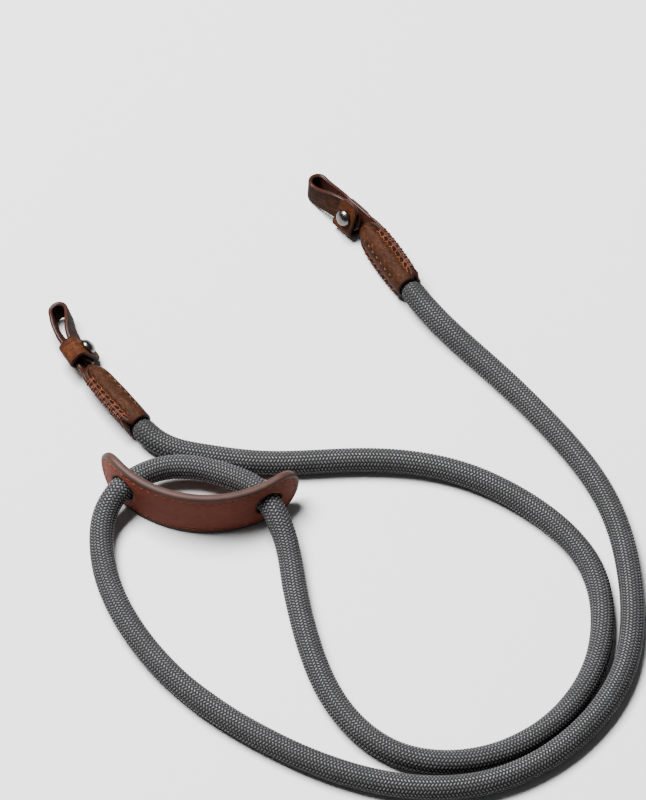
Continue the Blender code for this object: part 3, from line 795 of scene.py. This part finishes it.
def spool(side):
    """A cutter for a hole whose rims are rounded."""
    rim = PAD_THICKNESS / 2 + 0.0001
    profile = []
    for angle in np.radians([0, 22, 45, 68, 90]):
        radius = PAD_HOLE_RADIUS + PAD_HOLE_ROUNDING * (1 - math.cos(angle))
        profile.append((radius, rim + PAD_HOLE_ROUNDING * (math.sin(angle) - 1)))
    profile.append((PAD_HOLE_RADIUS + PAD_HOLE_ROUNDING * 2, PAD_THICKNESS / 2 + 0.004))
    profile = [(radius, -out) for radius, out in reversed(profile)] + profile
    centre = side * PAD_HOLE_SPACING / 2
    points = [
        (centre + radius * math.cos(angle), radius * math.sin(angle), out)
        for radius, out in profile
        for angle in LATHE_ANGLES
    ]
    rings, sides = len(profile), len(LATHE_ANGLES)
    return add_mesh("spool", points, ring_quads(rings, sides).tolist() + end_caps(rings, sides))


def flat_pad():
    """The uncut pad, drawn flat as (along, height, out)."""
    outline = pad_outline()
    drawn = []
    for face, insets in ((1, PAD_INSETS), (-1, PAD_INSETS[1:])):
        for inset in insets:
            reach = PAD_CAP - inset
            along, height = outline[:, 0] + outline[:, 1] * reach, outline[:, 2] * reach
            drawn.append(join(along, height, face * pad_half_thickness(along, height, face)))
    rings = np.arange(len(drawn) * len(outline)).reshape(-1, len(outline))
    front, back = rings[: len(PAD_INSETS)], np.concatenate([rings[:1], rings[len(PAD_INSETS) :]])
    top = PAD_CAP_POINTS - 1
    left = top + PAD_SIDE_POINTS - 1
    foot = left + PAD_CAP_POINTS - 1
    faces = []
    for levels, turn in ((front, 1), (back, -1)):
        for low, high in zip(levels, levels[1:]):
            faces += join(low, np.roll(low, -1), np.roll(high, -1), high)[:, ::turn].tolist()
        inmost = levels[-1]
        upper = inmost[top : left + 1]
        lower = np.append(inmost[foot:], inmost[0])[::-1]
        faces += join(upper[:-1], upper[1:], lower[1:], lower[:-1])[:, ::turn].tolist()
        faces.append(inmost[: top + 1][::turn].tolist())
        faces.append(inmost[left : foot + 1][::turn].tolist())
    return add_mesh("pad_flat", np.concatenate(drawn).tolist(), faces)


def cut_away(flat, cutters):
    """The points and faces that are left of a mesh when the cutters are taken from it."""
    for cutter in cutters:
        boolean = flat.modifiers.new("hole", "BOOLEAN")
        boolean.object = cutter
        boolean.operation = "DIFFERENCE"
        boolean.solver = "EXACT"
    bpy.context.view_layer.update()
    evaluated = flat.evaluated_get(bpy.context.evaluated_depsgraph_get())
    cut = bpy.data.meshes.new_from_object(evaluated)
    drawn = np.zeros(len(cut.vertices) * 3)
    cut.vertices.foreach_get("co", drawn)
    for made in [flat] + cutters:
        bpy.data.objects.remove(made)
    return drawn.reshape(-1, 3), [tuple(face.vertices) for face in cut.polygons]


def make_pad(material):
    """Drawn flat, cut, then bent round its axis."""
    drawn, faces = cut_away(flat_pad(), [spool(-1), spool(1)])
    along, height, out = drawn.T
    inset = pad_inset(along, height)
    from_hole = np.hypot(np.abs(along) - PAD_HOLE_SPACING / 2, height) - PAD_HOLE_RADIUS
    in_hole = 1 - smooth_step((from_hole - 0.0002) / 0.0004)
    corner = np.arctan2(height, along - PAD_HOLE_SPACING / 2)
    values = {
        "edge": 1 - smooth_step((inset - 0.0016) / 0.0005),
        "near": bell(inset, 0.0024),
        "inner": np.zeros(len(drawn)),
        "hole": in_hole,
        "raw": in_hole * bell(corner - 0.95, 0.35) * (along > 0) * smooth_step((out + 0.0005) / 0.001),
    }
    uvs = {"leather": join(height, along)[np.concatenate(faces)]}
    points = pad_place(along, height, out)
    pad = add_piece("slide_pad_leather", points, faces, material, values, uvs, ["slide_pad"])


def make_pad_stitches(thread):
    """A row of stitches round each face, from the left end of its upper edge."""
    cap = PAD_CAP - PAD_STITCH_INSET
    side, half_turn = 2 * PAD_STRAIGHT, math.pi * cap
    around = 2 * (side + half_turn)
    count = round(around / PAD_STITCH_PITCH)
    random = np.random.default_rng(5)
    paths = []
    for face in (1, -1):
        for number in range(count):
            start = around / count * number + random.normal() * 0.00012
            run = start + np.linspace(0, 1, 8) * (PAD_STITCH_LENGTH + random.normal() * 0.0001)
            run %= around
            parts = [run < side, run < side + half_turn, run < 2 * side + half_turn]
            right, left = (run - side) / cap, (run - 2 * side - half_turn) / cap
            foot = PAD_STRAIGHT - run + side + half_turn
            along = [run - PAD_STRAIGHT, PAD_STRAIGHT + cap * np.sin(right), foot]
            along = np.select(parts, along, -PAD_STRAIGHT - cap * np.sin(left))
            height = np.select(parts, [cap, cap * np.cos(right), -cap], -cap * np.cos(left))
            out = face * (pad_half_thickness(along, height, face) + PAD_STITCH_RISE)
            paths.append(pad_place(along, height, out))
    tubes("slide_pad_stitches", paths, PAD_STITCH_RADIUS, thread)


# Leather ends


def sleeve_section(u):
    """The sleeve's middle width, middle depth and flatness at u."""
    along = min(max(u / COVER_LENGTH, 0), 1)
    upper = max(1, np.searchsorted(SLEEVE_SECTIONS[:, 0], along))
    picked = np.clip(np.arange(upper - 2, upper + 2), 0, len(SLEEVE_SECTIONS) - 1)
    before, low, high, after = SLEEVE_SECTIONS[picked]
    span = high[0] - low[0]
    done = (along - low[0]) / span
    slope_low = (high - before) / (high[0] - before[0]) * span
    slope_high = (after - low) / (after[0] - low[0]) * span
    eased = slope_low * done * (1 - done) ** 2 + slope_high * done**2 * (done - 1)
    width, depth, flat = (mix(low, high, smooth_step(done)) + eased)[1:]
    return width * SLEEVE_MID_WIDTH, depth * SLEEVE_MID_DEPTH, min(max(flat, 0), 1)


def laced_section():
    """The half pipe's middle surface as (w, f, share of its half width): arc, fillet and flat flange."""
    low = HALF_LEATHER + 0.00005
    fillet_f = low + FLANGE_FILLET
    fillet_w = math.sqrt((SLEEVE_MID_DEPTH + FLANGE_FILLET) ** 2 - fillet_f**2)
    leaves = math.atan2(fillet_f, fillet_w)
    edge = SLEEVE_WIDTH / 2 - RIM
    arc = np.linspace(math.pi / 2, leaves, 50)
    bend = np.linspace(leaves, math.pi / 2, 24)[1:]
    flange = np.linspace(fillet_w, edge, 8)[1:]
    w = [SLEEVE_MID_DEPTH * np.cos(arc), fillet_w - FLANGE_FILLET * np.cos(bend), flange]
    f = [SLEEVE_MID_DEPTH * np.sin(arc), fillet_f - FLANGE_FILLET * np.sin(bend), np.full(len(flange), low)]
    w, f = np.concatenate(w), np.concatenate(f)
    run = np.concatenate([[0], np.cumsum(np.hypot(np.diff(w), np.diff(f)))])
    return w, f, run / run[-1], run[-1]


SECTION_W, SECTION_F, SECTION_SHARE, SECTION_RUN = laced_section()


def sleeve_row(u, across, front, flat_f):
    """Drawn points across a half pipe's middle surface: across runs from -1 to 1, front is 1 or -1."""
    width, depth, flat = sleeve_section(u)
    low = SECTION_F[-1]
    parted = LIP_OPENING * smooth_step(1 - u / LIP_LENGTH)
    share = np.abs(across)
    w = np.interp(share, SECTION_SHARE, SECTION_W) * np.sign(across) * width / SLEEVE_MID_WIDTH
    raised = (np.interp(share, SECTION_SHARE, SECTION_F) - low) / (SLEEVE_MID_DEPTH - low)
    f = mix(front * (low + parted + raised * (depth - low - parted)), flat_f, flat)
    w = mix(w, (LEG_EDGE - RIM) * across, flat)
    corner = LIP_CORNER * np.clip((share - 0.72) / 0.28, 0, 1) ** 2.5
    return join(u + corner * np.clip(1 - u / 0.009, 0, 1), f, w)


def leg_spread(u):
    share = (u - KEEPER_END) / (TURN_START - KEEPER_END)
    opened = (smooth_step(share) + share * (2 - share)) / 2
    return mix(LEG_MID, TURN_MID_RADIUS, opened)


def tip_shares(steps):
    angles = np.radians(TIP_ANGLE) * np.linspace(0, 1, steps + 1)
    return list(zip(np.sin(angles) / math.sin(angles[-1]), np.cos(angles)))


def across_shares(count):
    even = np.linspace(-1, 1, count)
    return mix(even, np.sin(even * math.pi / 2), 0.35)


def back_strap_rows(across):
    rows = [sleeve_row(u, across, -1, -LEG_MID) for u in np.linspace(RIM, COVER_LENGTH, 104)]
    spine = [(u, -LEG_MID) for u in np.linspace(COVER_LENGTH, KEEPER_END, 26)[1:]]
    opening = np.linspace(KEEPER_END, TURN_START, 26)[1:]
    spine += [(u, -leg_spread(u)) for u in opening]
    for angle in np.linspace(0, math.pi, 31)[1:]:
        spine.append((TURN_START + TURN_MID_RADIUS * math.sin(angle), -TURN_MID_RADIUS * math.cos(angle)))
    spine += [(u, leg_spread(u)) for u in opening[::-1][1:]]
    spine += [(u, LEG_MID) for u in np.linspace(KEEPER_END, SHORT_LEG_END + LEG_EDGE, 14)[:-1]]
    wide = (LEG_EDGE - RIM) * across
    rows += [join(u, f, wide) for u, f in spine]
    for along, share in tip_shares(12):
        u = mix(SHORT_LEG_END + LEG_EDGE, SHORT_LEG_END + RIM, along)
        rows.append(join(u, LEG_MID, wide * share))
    return np.array(rows)


def front_cover_rows(across):
    tip_start = COVER_LENGTH - COVER_TIP_LENGTH
    outline = [(u, 1) for u in np.linspace(RIM, tip_start, 104)[:-1]]
    outline += [(mix(tip_start, COVER_LENGTH - RIM, along), wide) for along, wide in tip_shares(16)]
    return np.array([sleeve_row(u, across * wide, 1, COVER_TIP_F) for u, wide in outline])


def keeper_rows(count):
    """Drawn rows from the keeper's hidden end, round the fold, to the tab's end."""
    outline = [(-KEEPER_MID, w, 1) for w in np.linspace(BACK_END - RIM, CORNER_W, 22)[:-1]]
    turned = [
        (-CORNER_F - KEEPER_CORNER * math.cos(angle), CORNER_W - KEEPER_CORNER * math.sin(angle), 1)
        for angle in np.linspace(0, math.pi / 2, 12)
    ]
    outline += turned
    outline += [(f, CORNER_W - KEEPER_CORNER, 1) for f in np.linspace(-CORNER_F, CORNER_F, 8)[1:-1]]
    outline += [(-f, w, 1) for f, w, _ in reversed(turned)]
    tab_start = TAB_END - TAB_CORNER
    outline += [(KEEPER_MID, w, 1) for w in np.linspace(CORNER_W, tab_start, 24)[1:-1]]
    narrow = 1 - 2 * TAB_CORNER / KEEPER_WIDTH
    for angle in np.linspace(0, math.radians(TIP_ANGLE), 16):
        w = tab_start + (TAB_CORNER - RIM) * math.sin(angle)
        outline.append((KEEPER_MID, w, mix(narrow, 1, math.cos(angle))))
    across = np.linspace(-1, 1, count) * (KEEPER_WIDTH / 2 - RIM)
    return np.array([join(KEEPER_MIDDLE + across * wide, f, w) for f, w, wide in outline])


def seam_place(u, front, side, inset, lift):
    """A drawn point over the sleeve's outer face, an inset in from the edge of its middle surface."""
    flat_f = COVER_TIP_F if front > 0 else -LEG_MID
    share = 1 - inset / SECTION_RUN
    row = sleeve_row(u, np.array([share - 0.01, share]) * side, front, flat_f)
    slope = row[1] - row[0]
    normal = np.array([0, slope[2], -slope[1]]) / math.hypot(slope[1], slope[2])
    normal *= np.sign(normal[1] * front)
    return row[1] + normal * (HALF_LEATHER + lift)


def rounded(path):
    """The path with its corners cut off twice, as a thread takes them."""
    path = np.asarray(path)
    for _ in range(2):
        low, high = path[:-1], path[1:]
        inner = np.stack([low * 0.75 + high * 0.25, low * 0.25 + high * 0.75], axis=1).reshape(-1, 3)
        path = np.concatenate([path[:1], inner[1:-1], path[-1:]])
    return path


def make_lacing(end, thread):
    """Doubled threads that cross over the two cut edges of each seam, from hole to hole."""
    random = np.random.default_rng(17 if end == "a" else 29)
    thick = LACING_RADIUS
    over = [(LACING_INSET, -0.0008), (LACING_INSET - 0.0001, thick * 1.2), (0.0016, thick * 1.4), (0, thick)]
    stops = [(1, *stop) for stop in over] + [(-1, *stop) for stop in reversed(over)]
    shares = (0.00, 0.03, 0.36, 0.62, 0.76, 0.88, 0.97, 1.00)  # of the way to the next hole
    paths = []
    for side in (-1, 1):
        for hole in np.arange(LACING_START, LACING_END - LACING_PITCH, LACING_PITCH):
            ends = hole + LACING_PITCH * 0.07, hole + LACING_PITCH * 0.93
            for first, then in (ends, ends[::-1]):
                proud = LACING_PROUD if first < then else 0
                for aside in (-1, 1):
                    slip = random.normal(size=2) * 0.00010 + aside * thick * 1.05
                    begin, finish = first + slip[0], then + slip[1]
                    path = []
                    for (front, inset, lift), share in zip(stops, shares):
                        lift += proud * (lift > 0)
                        path.append(seam_place(mix(begin, finish, share), front, side, inset, lift))
                    front_edge, back_edge = path[3:5]
                    out = (front_edge + back_edge) / 2
                    out[2] = side * (max(abs(front_edge[2]), abs(back_edge[2])) + RIM + thick * 1.6 + proud)
                    edges = [edge * 0.6 + out * 0.4 for edge in (front_edge, back_edge)]
                    for edge in edges:
                        edge[2] = out[2] - side * thick * 0.5
                    path[4:4] = [edges[0], out, edges[1]]
                    paths.append(lay(end, rounded(path)))
    tubes("lacing_" + end, paths, thick, thread)


def make_cover(end, material, thread):
    across = across_shares(59)
    drawn = front_cover_rows(across)
    middle, outward = lay_sheet(end, drawn, (20, 29))
    u = drawn[..., 0]
    side = across * SECTION_RUN + 0 * u
    line = COVER_STITCH_LINE[end]
    window = smooth_step((u - COVER_STITCH_START) / 0.002 + 1)
    window *= 1 - smooth_step((u - COVER_STITCH_END) / 0.002)
    relief = -COVER_GROOVE_DEPTH * bell(side - line, 0.0011) * window
    holes = 0.65 * bell(side - line, 0.0006) * window
    starts = np.arange(COVER_STITCH_START, COVER_STITCH_END, COVER_STITCH_PITCH)
    for hole in join(starts, starts + COVER_STITCH_LENGTH).ravel():
        away = np.hypot(u - hole, side - line)
        relief -= COVER_HOLE_DEPTH * bell(away, 0.00034)
        holes = np.maximum(holes, bell(away, 0.0006))
    phase = (u - LACING_START) / LACING_PITCH * math.tau
    seam = bell(np.abs(side) - SECTION_RUN + LACING_INSET, 0.0006) * smooth_step((u - 0.003) / 0.002)
    relief -= LACING_GROOVE_DEPTH * seam * (1 + np.cos(phase))
    relief += 0.00010 * waves(middle, 0.011, 7) + 0.00003 * waves(middle, 0.003, 8)
    leather_sheet("front_cover_" + end, middle, outward, material, relief, holes)
    column = int(np.argmin(np.abs(side[0] - line)))
    u, middle, outward, relief = (grid[:, column] for grid in (u, middle, outward, relief))
    surface = middle + outward * (HALF_LEATHER + relief)[:, None]
    paths = []
    for start in starts:
        at = start + np.linspace(0, COVER_STITCH_LENGTH, len(COVER_STITCH_RISE))
        paths.append(read_path(at, u, surface) + read_path(at, u, outward) * COVER_STITCH_RISE[:, None])
    tubes("cover_stitches_" + end, paths, COVER_STITCH_RADIUS, thread)


def make_back_strap(end, material):
    middle, outward = lay_sheet(end, back_strap_rows(across_shares(33)), (20, 16))
    relief = 0.00006 * waves(middle, 0.010, 21) + 0.00002 * waves(middle, 0.003, 22)
    leather_sheet("back_strap_" + end, middle, outward, material, relief)


def make_keeper(end, material):
    drawn = keeper_rows(31)
    middle, outward = lay_sheet(end, drawn, (np.argmin(drawn[:, 15, 2]), 15))
    u, f, w = np.moveaxis(drawn, -1, 0)
    relief = 0.00008 * waves(middle, 0.009, 31) + 0.00003 * waves(middle, 0.003, 32)
    slit = (f > KEEPER_MID - 1e-6) * bell(u - KEEPER_MIDDLE, STUD_SLIT_WIDTH / 2)
    slit_end = STUD_NECK_DIAMETER / 2 + STUD_SLIT_LENGTH + STUD_SLIT_MORE[end]
    slit = slit * smooth_step((w + slit_end) / 0.0006) * (w < 0)
    relief = relief * (1 - slit) - STUD_SLIT_DEPTH * slit
    piece = leather_sheet("keeper_" + end, middle, outward, material, relief)
    raw = np.zeros(len(piece.data.vertices))
    raw[: slit.size] = slit.ravel()
    piece.data.attributes.new("raw", "FLOAT", "POINT").data.foreach_set("value", raw)


def make_stud(end, material):
    foot = KEEPER_FACE + CLEARANCE
    dome = STUD_DIAMETER / 2 + 0.0002
    lip = 0.0004
    neck = STUD_NECK_DIAMETER / 2
    half_base = STUD_BASE_THICKNESS / 2
    base = STUD_BASE_DIAMETER / 2
    profile = []
    for angle in np.radians(np.linspace(0, 90, 15)):
        height = lip + (STUD_DOME_HEIGHT - lip) * math.cos(angle)
        profile.append((dome * math.sin(angle) ** 0.92, foot + height))
    profile += [(dome * 0.99, foot + lip * 0.5), (dome * 0.95, foot + lip * 0.1), (dome * 0.90, foot)]
    profile += [(neck * 1.1, foot), (neck, foot - 0.0003), (neck, half_base), (base * 0.96, half_base)]
    profile += [(base, half_base * 0.5), (base, -half_base * 0.5), (base * 0.96, -half_base)]
    profile.append((0.00001, -half_base))
    profile[0] = (0.00001, profile[0][1])
    drawn = [
        join(KEEPER_MIDDLE + radius * np.cos(LATHE_ANGLES), f, radius * np.sin(LATHE_ANGLES))
        for radius, f in profile
    ]
    faces = ring_quads(len(profile), len(LATHE_ANGLES)).tolist()
    name = "stud_" + end
    stud = add_piece(name + "_metal", lay(end, drawn), faces, material, replaces=[name])
    stud.data.set_sharp_from_angle(angle=math.radians(50))


add_camera()
make_rope()
add_world()
make_floor()
add_key_light()

inner_brown = (0.036, 0.0088, 0.0052)
strap = leather_material(
    "strap_leather_worn",
    [(0.007, 0.0026, 0.0014), (0.023, 0.0084, 0.0035), (0.070, 0.026, 0.009),
     (0.021, 0.0080, 0.0058), inner_brown],
    rub_share=0.45, roughness=0.76, edge_roughness=0.23, gloss=0.06, mottle=1.0,
)
tan = leather_material(
    "cover_leather_worn",
    [(0.0095, 0.0029, 0.0011), (0.026, 0.0080, 0.0027), (0.125, 0.043, 0.0110),
     (0.018, 0.0068, 0.0046), inner_brown],
    rub_share=0.60, roughness=0.66, edge_roughness=0.38, gloss=0.055, mottle=0.80,
)
band = leather_material(
    "keeper_leather_worn",
    [(0.020, 0.0056, 0.0020), (0.052, 0.0155, 0.0050), (0.165, 0.052, 0.0145),
     (0.017, 0.0064, 0.0044), inner_brown],
    rub_share=0.60, roughness=0.68, edge_roughness=0.40, gloss=0.05, mottle=0.9,
)
pad_face = leather_material(
    "pad_leather_matte",
    [(0.082, 0.0205, 0.0126), (0.112, 0.0300, 0.0188), (0.146, 0.045, 0.028),
     (0.025, 0.0142, 0.0115), (0.06, 0.02, 0.014)],
    rub_share=0.25, roughness=0.74, edge_roughness=0.50, gloss=0.10, mottle=0.65,
)
# each thread's first colour is its painted highlight and its second its painted shade
thread = thread_material("waxed_thread", (0.26, 0.078, 0.035), (0.022, 0.0053, 0.0024))
stitch_thread = thread_material("stitch_thread", (0.20, 0.072, 0.022), (0.030, 0.0090, 0.0034))
pad_thread = thread_material("pad_thread", (0.27, 0.075, 0.028), (0.09, 0.022, 0.010))
nickel = metal_material()

make_pad(pad_face)
make_pad_stitches(pad_thread)
for end in ENDS:
    make_back_strap(end, strap)
    make_cover(end, tan, stitch_thread)
    make_keeper(end, band)
    make_stud(end, nickel)
    make_lacing(end, thread)
